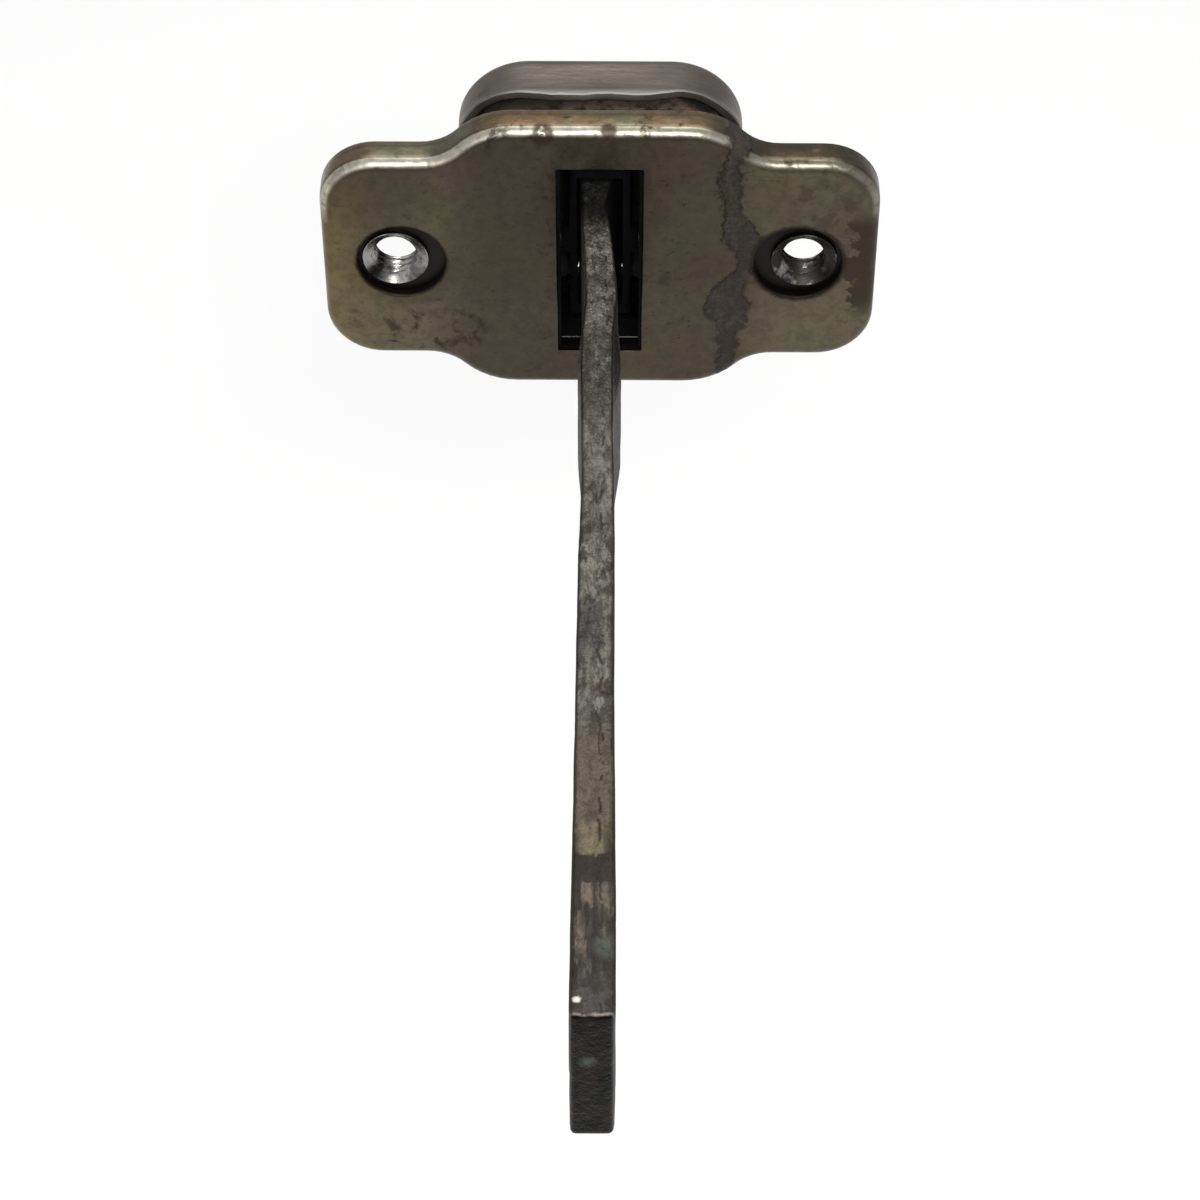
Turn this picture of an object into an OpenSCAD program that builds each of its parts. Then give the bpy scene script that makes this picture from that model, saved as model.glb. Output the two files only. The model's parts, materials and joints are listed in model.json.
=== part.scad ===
// Vehicle door check: a sprung, roller-guided check strap in a pressed steel housing.
// Axes: +X to the right of the face plate, +Y into the door, +Z up.
// Origin: middle of the two bolt holes, on the front face of the face plate.

/* [Face plate] */
// Overall width of the face plate
plate_w = 88; // [84:1:92]
// Height of the two bolt ears
ear_h = 40; // [38:0.5:42]
// Height of the raised middle of the face plate
hump_h = 52.6; // [52.6:0.2:56]
// Half-length of the straight run along the top of the middle
hump_flat = 13.5; // [12:0.5:17]
// Corner radius of the bolt ears
ear_r = 9; // [7:0.5:10]
// Radius where the raised middle turns down
hump_r = 12; // [9:0.5:14]
// Radius where the raised middle runs out into an ear
sweep_r = 8; // [7:0.5:9]
// Thickness of the pressed sheet
sheet = 1.5; // [1.2:0.1:1.5]
// Depth of the flange turned back round the edge
flange_d = 5.5; // [5.5:0.1:5.8]
// Outside radius of the bend between face and flange
bend_r = 2; // [1.6:0.1:2.4]

/* [Strap slot] */
// Width of the slot in the face plate
slot_w = 13.5; // [13:0.1:14]
// Height of the slot in the face plate
slot_h = 37.5; // [37:0.5:39]

/* [Nuts] */
// Distance between the two clinch nuts
nut_pitch = 65; // [64:0.5:66]
// Distance between the clearance holes in the face plate
hole_pitch = 63; // [62:0.5:64]
// Diameter of the clearance holes
hole_d = 14; // [13.5:0.1:14.5]
// Bore of the nuts, the minor diameter of their M8 thread
nut_bore_d = 6.7; // [6.6:0.05:6.9]

/* [Housing cup] */
// Outside width of the cup
cup_w = 45.2; // [44.8:0.2:45.4]
// Outside height of the cup
cup_h = 50.6; // [50.2:0.2:51]
// Corner radius of the cup
cup_r = 11.5; // [10:0.5:12]
// Back of the cup, measured from the front of the face plate
cup_back = 21; // [21:0.1:22]
// Radius round the back edge of the cup
cup_edge_r = 3; // [2:0.5:3.5]

/* [Strap] */
// Length of strap in front of the face plate
strap_out = 158.5; // [150:0.5:165]
// Height of the strap
strap_h = 25.4; // [25:0.1:25.6]
// Bore of the eye bush
eye_bore_d = 8.2; // [8:0.1:8.6]

/* [Rollers] */
// Diameter of the rollers
roller_d = 8; // [7.8:0.1:8]
// Length of the rollers
roller_len = 25.8; // [25:0.1:25.8]

/* [Hidden] */
$fn = 64;
EPS = 0.01;

// Clinch nuts: a collar through the ear and a flat flange behind it
nut_front = 0.7;
nut_back = 5.4;
nut_collar_r = 5.3;
nut_flange_r = 7.4;
nut_mouth_r = 5.1;
nut_major_r = 4.05;
nut_csk = 0.8;

// Ears of the housing cup, clamped flat against the back of the face plate
cup_t = 1.5;
lug_t = 1.8;
lug_back = sheet + lug_t;
lug_half_w = 39.5;
lug_half_h = 15.5;
lug_r = 5;
rim_side = 11.3;
rim_middle = 10.1;
back_slot_h = 37;
spacer_front = 8.9;

// The pin that the guide rocks on, and the nip of the two rollers
pivot_y = 6.3;
nip_y = 14.8;
strap_max = 6.8;
roller_r = roller_d / 2;
roller_x = strap_max / 2 + 0.1 + roller_r;
axle_r = 1.5;
bush_wall = 0.75;
run_gap = 0.05;

// Roller carriers
arm_in = 13.5;
arm_out = 16;
carrier_back = roller_x + 6.7;
carrier_t = 1.8;
strap_clear = 5.2;

// Strap, measured out from the face plate
strap_in = 33.8;
eye_s = 150.5;
eye_bush_r = 6;
stop_pin_r = 1.6;
stop_pin_y = 31.8;
stop_plate_y = 28.2;
stop_plate_t = 2;
nose_y = 23;
nose_r = 24;

zinc = "darkkhaki";
steel = "dimgray";
bright = "silver";
nylon = [0.08, 0.08, 0.09];
rubber = [0.05, 0.05, 0.05];
bronze = "peru";

// ---- helpers -------------------------------------------------------------

// Extrudes an outline drawn in X and Z from depth y0 to depth y1
module along_y(y0, y1) {
  translate([0, y1, 0]) rotate([90, 0, 0]) linear_extrude(height = y1 - y0) children();
}

// A block given by its two opposite corners
module block(low, high) {
  translate(low) cube(high - low);
}

// The part on the right, or its mirror image on the left
module on_side(side) {
  if (side < 0) mirror([1, 0, 0]) children();
  else children();
}

// A rounded rectangle about the origin
module rounded(w, h, r) {
  union() {
    square([w - 2 * r, h], center = true);
    square([w, h - 2 * r], center = true);
    for (x = [-1, 1], y = [-1, 1])
      translate([x * (w / 2 - r), y * (h / 2 - r)]) circle(r);
  }
}

// How far a rounded edge of radius r has drawn in at distance d from the face
function edge_inset(r, d) = r - sqrt(r * r - (r - d) * (r - d));

// ---- face plate ----------------------------------------------------------

// One quarter of the sweep from the raised middle down to the ear
module sweep_quarter(inset) {
  cz = hump_h / 2 - hump_r;
  fz = ear_h / 2 + sweep_r;
  reach = hump_r + sweep_r;
  fx = hump_flat + sqrt(reach * reach - (fz - cz) * (fz - cz));
  tx = hump_flat + (fx - hump_flat) * hump_r / reach;
  tz = cz + (fz - cz) * hump_r / reach;
  k = inset / hump_r;
  union() {
    square([hump_flat, hump_h / 2 - inset]);
    translate([hump_flat, cz]) circle(hump_r - inset);
    difference() {
      polygon([[0, 0], [hump_flat, cz], [tx - k * (tx - hump_flat), tz - k * (tz - cz)],
               [fx, tz - k * (tz - cz)], [fx, 0]]);
      translate([fx, fz]) circle(sweep_r + inset);
    }
  }
}

module plate_outline(inset) {
  union() {
    rounded(plate_w - 2 * inset, ear_h - 2 * inset, ear_r - inset);
    for (x = [0, 1], z = [0, 1])
      mirror([x, 0]) mirror([0, z]) sweep_quarter(inset);
  }
}

module face_plate() {
  steps = 4;
  step = bend_r / steps;
  color(zinc)
  difference() {
    union() {
      for (i = [0 : steps - 1])
        along_y(i * step, (i + 1) * step) plate_outline(edge_inset(bend_r, (i + 0.5) * step));
      along_y(bend_r, flange_d) plate_outline(0);
    }
    along_y(sheet, flange_d + 1) plate_outline(sheet);
    along_y(-1, sheet + 1) square([slot_w, slot_h], center = true);
    for (side = [-1, 1])
      along_y(-1, sheet + 1) translate([side * hole_pitch / 2, 0]) circle(d = hole_d);
  }
}

// ---- housing cup with its two lugs -----------------------------------------

// Depth of the rim of the cup at x, a little less across the middle of the top
function rim_depth(x) =
  let (t = max(0, min(1, (cup_w / 2 - 6 - abs(x)) / 10)))
  rim_side + (rim_middle - rim_side) * t * t * (3 - 2 * t);

module rim_cut() {
  n = 24;
  half = cup_w / 2 + 1;
  points = [for (i = [0 : n]) let (x = -half + 2 * half * i / n) [x, rim_depth(x)]];
  polygon(concat([[-half, sheet - 1]], points, [[half, sheet - 1]]));
}

module housing_cup() {
  steps = 4;
  step = cup_edge_r / steps;
  inner_w = cup_w - 2 * cup_t;
  inner_h = cup_h - 2 * cup_t;
  cut_z = 16;
  color(steel)
  difference() {
    union() {
      along_y(sheet, cup_back - cup_edge_r) rounded(cup_w, cup_h, cup_r);
      for (i = [0 : steps - 1]) {
        inset = edge_inset(cup_edge_r, (i + 0.5) * step);
        along_y(cup_back - (i + 1) * step, cup_back - i * step)
          rounded(cup_w - 2 * inset, cup_h - 2 * inset, cup_r - inset);
      }
      along_y(sheet, lug_back) rounded(2 * lug_half_w, 2 * lug_half_h, lug_r);
    }
    along_y(sheet - 1, cup_back - cup_t) rounded(inner_w, inner_h, cup_r - cup_t);
    for (z = [0, 1])
      mirror([0, 0, z]) translate([0, 0, cut_z]) linear_extrude(height = cup_h) rim_cut();
    along_y(cup_back - cup_t - 1, cup_back + 1) square([slot_w, back_slot_h], center = true);
    for (side = [-1, 1]) {
      along_y(sheet - 1, lug_back + 1) translate([side * nut_pitch / 2, 0]) circle(nut_collar_r);
      translate([side * cup_w / 2, pivot_y, 0]) rotate([0, 90, 0]) cylinder(r = axle_r, h = 6, center = true);
    }
  }
}

// ---- clinch nuts -----------------------------------------------------------

module nut(side) {
  bore_r = nut_bore_d / 2;
  color(bright)
  translate([side * nut_pitch / 2, nut_back, 0]) rotate([90, 0, 0])
  rotate_extrude()
  polygon([
    [bore_r, 0], [nut_flange_r, 0], [nut_flange_r, nut_back - lug_back],
    [nut_collar_r, nut_back - lug_back], [nut_collar_r, nut_back - nut_front],
    [nut_mouth_r, nut_back - nut_front], [nut_major_r, nut_back - nut_front - nut_csk],
    [bore_r, nut_back - nut_front - nut_csk - 0.4]
  ]);
}

module nut_left() { nut(-1); }
module nut_right() { nut(1); }

// ---- lining of the slot ----------------------------------------------------

module slot_liner() {
  lip_y = 0.6;
  back_y = sheet + 1.3;
  wall = 0.5;
  color(nylon)
  difference() {
    union() {
      along_y(sheet, back_y) rounded(38, 43, 5);
      along_y(lip_y, sheet) square([slot_w, slot_h], center = true);
    }
    along_y(lip_y - 1, back_y + 1) square([slot_w - 2 * wall, slot_h - 2 * wall], center = true);
  }
}

// ---- spacers that keep the carriers at their height --------------------------

module spacer() {
  gap = 0.2;
  low_z = arm_out + 0.3;
  notch_w = slot_w + 0.7;
  notch_z = 19.6;
  color(nylon)
  intersection() {
    along_y(spacer_front, cup_back - cup_t)
      rounded(cup_w - 2 * (cup_t + gap), cup_h - 2 * (cup_t + gap), cup_r - cup_t - gap);
    difference() {
      block([-cup_w, 0, low_z], [cup_w, cup_back, cup_h]);
      block([-notch_w / 2, -1, 0], [notch_w / 2, cup_back + 1, notch_z]);
    }
  }
}

module spacer_upper() { spacer(); }
module spacer_lower() { mirror([0, 0, 1]) spacer(); }

// ---- rubber springs behind the carriers --------------------------------------

module rubber_spring(side) {
  half_h = 15.5;
  hole_r = 1.8;
  hole_step = 9;
  outer = cup_w / 2 - cup_t;
  color(rubber)
  on_side(side)
  difference() {
    block([carrier_back, 9, -half_h], [outer, cup_back - cup_t, half_h]);
    for (z = [-1, 0, 1])
      along_y(8, cup_back)
        translate([(carrier_back + outer) / 2, z * hole_step]) circle(hole_r);
  }
}

module rubber_spring_left() { rubber_spring(-1); }
module rubber_spring_right() { rubber_spring(1); }

// ---- rocking guide and its two pins -------------------------------------------

window_half_w = strap_max / 2 + 0.2;
window_half_h = strap_h / 2 + 0.3;
guide_half_w = 4.8;
guide_half_h = 15;
hub_r = 2.4;
hub_x = 6.1;

module guide_pin(side) {
  head_r = 2.6;
  head_t = 0.9;
  tip_x = window_half_w + 0.4;
  color(bright)
  on_side(side)
  translate([tip_x, pivot_y, 0]) rotate([0, 90, 0]) {
    cylinder(r = axle_r, h = cup_w / 2 - tip_x);
    translate([0, 0, cup_w / 2 - tip_x]) cylinder(r = head_r, h = head_t);
  }
}

module guide_pin_left() { guide_pin(-1); }
module guide_pin_right() { guide_pin(1); }

module strap_guide() {
  mid_t = 2.2;
  end_t = 1.2;
  color(nylon)
  difference() {
    union() {
      translate([-guide_half_w, pivot_y, 0]) rotate([90, 0, 90])
        linear_extrude(height = 2 * guide_half_w)
        polygon([[-mid_t, 0], [-end_t, -guide_half_h], [end_t, -guide_half_h],
                 [mid_t, 0], [end_t, guide_half_h], [-end_t, guide_half_h]]);
      translate([-hub_x, pivot_y, 0]) rotate([0, 90, 0]) cylinder(r = hub_r, h = 2 * hub_x);
    }
    block([-window_half_w, -10, -window_half_h], [window_half_w, 20, window_half_h]);
    translate([-hub_x - 1, pivot_y, 0]) rotate([0, 90, 0])
      cylinder(r = axle_r + run_gap, h = 2 * hub_x + 2);
  }
}

// ---- roller carriers -----------------------------------------------------------

module carrier(side) {
  front_y = 8.8;
  back_y = cup_back - cup_t - 0.3;
  arm_y = 3.8;
  color(nylon)
  on_side(side)
  difference() {
    union() {
      block([carrier_back - carrier_t, front_y, -arm_out], [carrier_back, back_y, arm_out]);
      for (z = [-1, 1])
        translate([0, 0, z * (arm_in + arm_out) / 2])
          block([strap_clear, nip_y - arm_y, (arm_in - arm_out) / 2],
                [carrier_back, nip_y + arm_y, (arm_out - arm_in) / 2]);
    }
    translate([roller_x, nip_y, 0]) cylinder(r = axle_r, h = 3 * arm_out, center = true);
  }
}

module carrier_left() { carrier(-1); }
module carrier_right() { carrier(1); }

module roller_pin(side) {
  head_r = 2.1;
  head_t = 0.25;
  color(bright)
  translate([side * roller_x, nip_y, 0]) {
    cylinder(r = axle_r, h = 2 * arm_out, center = true);
    for (z = [-1, 1])
      translate([0, 0, z * (arm_out + head_t / 2)]) cylinder(r = head_r, h = head_t, center = true);
  }
}

module roller_pin_left() { roller_pin(-1); }
module roller_pin_right() { roller_pin(1); }

module thrust_washers(side) {
  washer_r = 3.2;
  washer_t = 0.45;
  color(bright)
  translate([side * roller_x, nip_y, 0])
  for (z = [-1, 1])
    difference() {
      translate([0, 0, z * (arm_in - washer_t / 2)]) cylinder(r = washer_r, h = washer_t, center = true);
      cylinder(r = axle_r, h = 3 * arm_in, center = true);
    }
}

module thrust_washers_left() { thrust_washers(-1); }
module thrust_washers_right() { thrust_washers(1); }

// ---- rollers ---------------------------------------------------------------------

bush_r = axle_r + run_gap + bush_wall;
bush_len = 8;

module roller(side) {
  edge = 0.5;
  half = roller_len / 2;
  color(bright)
  translate([side * roller_x, nip_y, 0])
  rotate_extrude()
  polygon([[bush_r, -half], [roller_r - edge, -half], [roller_r, edge - half],
           [roller_r, half - edge], [roller_r - edge, half], [bush_r, half]]);
}

module roller_left() { roller(-1); }
module roller_right() { roller(1); }

module roller_bushes(side) {
  color(bronze)
  translate([side * roller_x, nip_y, 0])
  for (z = [-1, 1])
    difference() {
      translate([0, 0, z * (roller_len - bush_len) / 2]) cylinder(r = bush_r, h = bush_len, center = true);
      cylinder(r = axle_r + run_gap, h = 2 * roller_len, center = true);
    }
}

module roller_bushes_left() { roller_bushes(-1); }
module roller_bushes_right() { roller_bushes(1); }

// ---- check strap -------------------------------------------------------------------

// Stations along the strap: [distance out from the face plate, left edge, right edge].
// Behind the face plate the distance is negative. The two waves are the holding detents.
stations = [
  [-strap_in, -2.6, 2.6], [-24, -2.6, 2.6], [-19, -3.4, 3.4], [-10, -3.4, 3.4],
  [-4, -3.3, 1.8], [0, -3.2, 1.1], [6, -2.9, 1.5], [12, -2.5, 2.1], [21, -2.15, 2.8],
  [27, -2.4, 3.0], [31, -3.0, 3.1], [35, -3.3, 3.3], [39, -3.2, 3.3], [46, -2.7, 2.7], [54, -2.5, 2.5],
  [63, -2.5, 2.6], [87, -2.7, 2.7], [124, -2.8, 2.7], [143, -2.9, 2.85], [strap_out, -2.9, 2.8]
];

module strap_plan() {
  n = len(stations);
  polygon(concat(
    [for (i = [0 : n - 1]) [stations[i][1], -stations[i][0]]],
    [for (i = [0 : n - 1]) [stations[n - 1 - i][2], -stations[n - 1 - i][0]]]
  ));
}

module check_strap() {
  tail = 3;
  half = strap_h / 2;
  color(steel)
  difference() {
    translate([0, 0, -half]) linear_extrude(height = strap_h) strap_plan();
    translate([0, -eye_s, 0]) rotate([0, 90, 0]) cylinder(r = eye_bush_r, h = 20, center = true);
    for (z = [-1, 1]) {
      translate([0, stop_pin_y, z * half / 2]) rotate([0, 90, 0])
        cylinder(r = stop_pin_r, h = 20, center = true);
      translate([0, strap_in, z * half]) rotate([45, 0, 0])
        cube([20, tail * sqrt(2), tail * sqrt(2)], center = true);
    }
  }
}

module eye_bush() {
  length = 5.6;
  color(bronze)
  translate([-0.05, -eye_s, 0]) rotate([0, 90, 0])
  difference() {
    cylinder(r = eye_bush_r, h = length, center = true);
    cylinder(d = eye_bore_d, h = 2 * length, center = true);
  }
}

// ---- travel stop on the inner end of the strap ----------------------------------------

stop_half_w = 10;
stop_half_h = 14.5;
tail_half_w = 2.6;

module stop_buffer() {
  color(rubber)
  difference() {
    translate([-stop_half_w, 0, 0]) rotate([90, 0, 90]) linear_extrude(height = 2 * stop_half_w)
      intersection() {
        translate([nose_y + nose_r, 0]) circle(nose_r, $fn = 96);
        translate([nose_y, -stop_half_h]) square([stop_plate_y - nose_y, 2 * stop_half_h]);
      }
    block([-tail_half_w, 0, -strap_h / 2], [tail_half_w, 40, strap_h / 2]);
    block([-tail_half_w - 0.5, 0, -strap_h / 2], [tail_half_w + 0.5, 24.5, strap_h / 2]);
  }
}

module stop_plate() {
  color(bright)
  difference() {
    along_y(stop_plate_y, stop_plate_y + stop_plate_t) rounded(2 * stop_half_w + 2, 2 * stop_half_h, 3);
    block([-tail_half_w, 0, -strap_h / 2], [tail_half_w, 40, strap_h / 2]);
  }
}

module stop_pins() {
  color(bright)
  for (z = [-1, 1])
    translate([0, stop_pin_y, z * strap_h / 4]) rotate([0, 90, 0])
      cylinder(r = stop_pin_r, h = 2 * stop_half_w - 2, center = true);
}

// ---- the whole check ---------------------------------------------------------------------

face_plate();
housing_cup();
nut_left();
nut_right();
slot_liner();
spacer_upper();
spacer_lower();
rubber_spring_left();
rubber_spring_right();
guide_pin_left();
guide_pin_right();
strap_guide();
carrier_left();
carrier_right();
roller_pin_left();
roller_pin_right();
thrust_washers_left();
thrust_washers_right();
roller_left();
roller_right();
roller_bushes_left();
roller_bushes_right();
check_strap();
eye_bush();
stop_buffer();
stop_plate();
stop_pins();
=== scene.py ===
import json
import math

import bmesh
import bpy
import numpy as np
from mathutils import Matrix, Vector, geometry, noise


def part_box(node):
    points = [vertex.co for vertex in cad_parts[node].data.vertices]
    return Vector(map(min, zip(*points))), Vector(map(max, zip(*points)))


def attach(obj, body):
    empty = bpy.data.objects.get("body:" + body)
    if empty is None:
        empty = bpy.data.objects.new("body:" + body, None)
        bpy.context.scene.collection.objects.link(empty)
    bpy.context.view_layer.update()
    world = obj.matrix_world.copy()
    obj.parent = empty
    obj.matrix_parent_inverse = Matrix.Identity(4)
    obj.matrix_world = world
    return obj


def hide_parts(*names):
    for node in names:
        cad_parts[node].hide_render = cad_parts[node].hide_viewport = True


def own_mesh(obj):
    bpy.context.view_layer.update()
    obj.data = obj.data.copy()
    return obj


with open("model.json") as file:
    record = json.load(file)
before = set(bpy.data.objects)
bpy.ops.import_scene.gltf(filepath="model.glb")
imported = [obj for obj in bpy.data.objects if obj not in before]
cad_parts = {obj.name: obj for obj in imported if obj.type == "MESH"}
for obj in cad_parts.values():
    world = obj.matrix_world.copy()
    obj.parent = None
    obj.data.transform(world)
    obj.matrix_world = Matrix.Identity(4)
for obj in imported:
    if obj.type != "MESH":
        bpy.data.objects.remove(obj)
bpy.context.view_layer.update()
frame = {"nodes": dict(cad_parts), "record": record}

# Lengths below are in millimetres, in the CAD model's frame: +X right, +Y into the door, +Z up.
# Only the lights and the merge distances are in metres.
MM = 0.001
TOUCHING = 1e-7  # metres; points closer than this are one point


def node_box(node):
    """Lowest and highest corner of a CAD node, in millimetres."""
    low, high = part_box(node)
    return low / MM, high / MM


# ---- sizes: outer ones from the CAD nodes, the others as in the CAD model ----

# Face plate: two ears and a taller middle (the hump), joined by sweeps, with a flange all round.
_, plate_high = node_box("face_plate")
PLATE_HALF_W = plate_high.x
HUMP_HALF_H = plate_high.z
FLANGE_D = plate_high.y
SHEET = 1.5
SHEET_GRID = 3.0  # spacing of the points inside a flat face
BEND_R = 2.0
EAR_HALF_H = 20.0
EAR_R = 9.0
HUMP_R = 12.0
SWEEP_R = 8.0
HUMP_FLAT = 13.5

SLOT_HALF_W = 6.75
SLOT_HALF_H = 18.75
HOLE_X = 31.5
HOLE_R = 7.0

# Nuts: a collar through the lug, a flange behind it and a countersunk mouth.
nut_low, nut_high = node_box("nut_right")
NUT_X = (nut_low.x + nut_high.x) / 2
NUT_FRONT = nut_low.y
NUT_BACK = nut_high.y
NUT_FLANGE_R = (nut_high.x - nut_low.x) / 2
NUT_COLLAR_R = 5.3
NUT_MOUTH_R = 5.1
THREAD_MAJOR_R = 4.0
THREAD_MINOR_R = 3.35
THREAD_PITCH = 1.25

# Housing cup: a deep pressing with a lug on each side; its rim stands back from the face plate.
_, cup_high = node_box("housing_cup")
CUP_HALF_W = 22.6
CUP_HALF_H = cup_high.z
CUP_BACK = cup_high.y
CUP_R = 11.5
CUP_EDGE_R = 3.0
CUP_T = 1.5
LUG_HALF_W = cup_high.x
LUG_HALF_H = 15.5
LUG_SHOULDER = LUG_HALF_H + 0.4
LUG_BACK = 3.3
RIM_SIDE = 11.3
RIM_MIDDLE = 10.1
BACK_SLOT_HALF_H = 18.5

# Check strap: how far it reaches in front of the face plate and behind it, and the eye at its end.
strap_low, strap_high = node_box("check_strap")
STRAP_OUT = -strap_low.y
STRAP_IN = strap_high.y
STRAP_HALF_H = strap_high.z
EYE_S = 150.5
EYE_R = 6.0

# Rubber springs: three holes each; the real ones are squeezed by the travel of their carrier, which is not
# modelled here.
SPRING_HOLE_R = 1.8
SPRING_HOLE_STEP = 9.0

CAD_EDGE = 0.2  # bevel on the edges of the CAD pieces that show as they are


# ---- mesh building ----

class Skin:
    """Collects rings of points and the faces between them, and makes one mesh object of them."""

    def __init__(self):
        self.points = []
        self.faces = []

    def ring(self, points):
        first = len(self.points)
        self.points.extend(tuple(p) for p in points)
        return list(range(first, len(self.points)))

    def bridge(self, a, b):
        for i in range(len(a)):
            j = (i + 1) % len(a)
            self.faces.append((a[i], a[j], b[j], b[i]))

    def loft(self, rings):
        made = [self.ring(r) for r in rings]
        for a, b in zip(made, made[1:]):
            self.bridge(a, b)
        return made

    def fill(self, loops, place, spacing):
        """Fills the flat region inside the first loop and outside the others.
        loops hold (ring, flat points); place turns a flat point into a point in space."""
        flat, edges, ids = [], [], []
        for ring, points in loops:
            first = len(flat)
            flat += [Vector(p) for p in points]
            ids += ring
            edges += [(first + i, first + (i + 1) % len(points)) for i in range(len(points))]
        outer = np.array([tuple(p) for p in loops[0][1]])
        near = np.array([tuple(p) for p in flat])
        clear = 0.6 * spacing
        for gx in np.arange(outer[:, 0].min() + spacing, outer[:, 0].max(), spacing):
            for gz in np.arange(outer[:, 1].min() + spacing, outer[:, 1].max(), spacing):
                if np.hypot(*(near - (gx, gz)).T).min() > clear:
                    flat.append(Vector((gx, gz)))
                    ids.append(None)
        inside_only, one_point = 2, 1e-5
        made, _, faces, origin, _, _ = geometry.delaunay_2d_cdt(flat, edges, [], inside_only, one_point)
        holes = [points for _, points in loops[1:]]

        def in_hole(face):
            middle = sum((made[i] for i in face), Vector((0, 0))) / len(face)
            return any(encloses(hole, middle) for hole in holes)

        new_id = []
        for point, sources in zip(made, origin):
            known = [ids[s] for s in sources if ids[s] is not None]
            if known:
                new_id.append(known[0])
            else:
                self.points.append(tuple(place(point)))
                new_id.append(len(self.points) - 1)
        self.faces += [tuple(new_id[i] for i in f) for f in faces if not in_hole(f)]

    def build(self, name, sharp=35):
        mesh = bpy.data.meshes.new(name)
        mesh.from_pydata([Vector(p) * MM for p in self.points], [], self.faces)
        bm = bmesh.new()
        bm.from_mesh(mesh)
        bmesh.ops.remove_doubles(bm, verts=bm.verts, dist=TOUCHING)
        loose = [v for v in bm.verts if not v.link_faces]
        bmesh.ops.delete(bm, geom=loose, context="VERTS")
        bmesh.ops.recalc_face_normals(bm, faces=bm.faces)
        bm.to_mesh(mesh)
        bm.free()
        finish_mesh(mesh, sharp)
        piece = bpy.data.objects.new(name, mesh)
        bpy.context.scene.collection.objects.link(piece)
        return piece


def finish_mesh(mesh, sharp):
    """Smooth shading, with edges sharper than the given angle kept crisp."""
    mesh.polygons.foreach_set("use_smooth", [True] * len(mesh.polygons))
    mesh.set_sharp_from_angle(angle=math.radians(sharp))
    mesh.update()


def apply_modifiers(piece, sharp):
    """Swaps the piece's mesh for what its modifiers make of it."""
    bpy.context.view_layer.update()
    made = bpy.data.meshes.new_from_object(piece.evaluated_get(bpy.context.evaluated_depsgraph_get()))
    piece.modifiers.clear()
    piece.data = made
    finish_mesh(made, sharp)


def encloses(loop, point):
    """Whether a flat point lies inside a closed loop."""
    crossings = 0
    for (ax, ay), (bx, by) in zip(loop, loop[1:] + loop[:1]):
        if (ay > point[1]) != (by > point[1]):
            crossings += point[0] < ax + (point[1] - ay) / (by - ay) * (bx - ax)
    return crossings % 2 == 1


def smooth(t):
    """0 up to t = 0 and 1 from t = 1, with a smooth rise between."""
    t = max(0.0, min(1.0, t))
    return t * t * (3 - 2 * t)


def arc(centre, r, start, end, step=7.0):
    """Points on an arc, with the outward normal at each, from angle start to end in degrees."""
    n = max(2, int(abs(end - start) / step))
    turns = [math.radians(start + (end - start) * i / n) for i in range(n + 1)]
    normals = [(math.cos(t), math.sin(t)) for t in turns]
    return [((centre[0] + r * nx, centre[1] + r * ny), (nx, ny)) for nx, ny in normals]


def line(a, b, normal, spacing=1.0):
    """Points on a straight line, with the same normal at each, without its two ends."""
    length = math.dist(a, b)
    n = max(1, int(length / spacing))
    return [((a[0] + (b[0] - a[0]) * i / n, a[1] + (b[1] - a[1]) * i / n), normal) for i in range(1, n)]


def mirror_quadrant(quarter):
    """Four quarters of an outline from the one that runs from the top to the right-hand side."""
    right = quarter + [((p[0], -p[1]), (n[0], -n[1])) for p, n in reversed(quarter)]
    left = [((-p[0], p[1]), (-n[0], n[1])) for p, n in reversed(right)]
    return right + left


def plate_outline():
    """The outline of the face plate, with normals: two ears and a taller middle, joined by sweeps."""
    corner = (HUMP_FLAT, HUMP_HALF_H - HUMP_R)
    reach = HUMP_R + SWEEP_R
    rise = EAR_HALF_H + SWEEP_R - corner[1]
    sweep = (HUMP_FLAT + math.sqrt(reach ** 2 - rise ** 2), EAR_HALF_H + SWEEP_R)
    turn = math.degrees(math.atan2(rise, sweep[0] - corner[0]))
    concave = [(p, (-n[0], -n[1])) for p, n in arc(sweep, SWEEP_R, 180 + turn, 270)]
    ear = (PLATE_HALF_W - EAR_R, EAR_HALF_H - EAR_R)
    quarter = line((0, HUMP_HALF_H), (HUMP_FLAT, HUMP_HALF_H), (0, 1))
    quarter += arc(corner, HUMP_R, 90, turn)
    quarter += concave[1:]
    quarter += line((sweep[0], EAR_HALF_H), (ear[0], EAR_HALF_H), (0, 1))
    quarter += arc(ear, EAR_R, 90, 0)
    quarter += line((PLATE_HALF_W, ear[1]), (PLATE_HALF_W, 0), (1, 0))
    return mirror_quadrant(quarter)


def box_outline(half_w, half_h, r, spacing=1.5, step=7.0):
    """The outline of a rounded rectangle, with normals."""
    corner = (half_w - r, half_h - r)
    quarter = line((0, half_h), (corner[0], half_h), (0, 1), spacing)
    quarter += arc(corner, r, 90, 0, step)
    quarter += line((half_w, corner[1]), (half_w, 0), (1, 0), spacing)
    return mirror_quadrant(quarter)


def circle_outline(x, r, n=96):
    """The outline of a circle round (x, 0), with normals."""
    turns = [2 * math.pi * i / n for i in range(n)]
    return [((x + r * math.cos(t), r * math.sin(t)), (math.cos(t), math.sin(t))) for t in turns]


def inset(outline, amount):
    """The points of an outline, drawn in by an amount; a negative one draws them out."""
    return [(p[0] - amount * n[0], p[1] - amount * n[1]) for p, n in outline]


def at_depth(points, y):
    return [(p[0], y, p[1]) for p in points]


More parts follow.
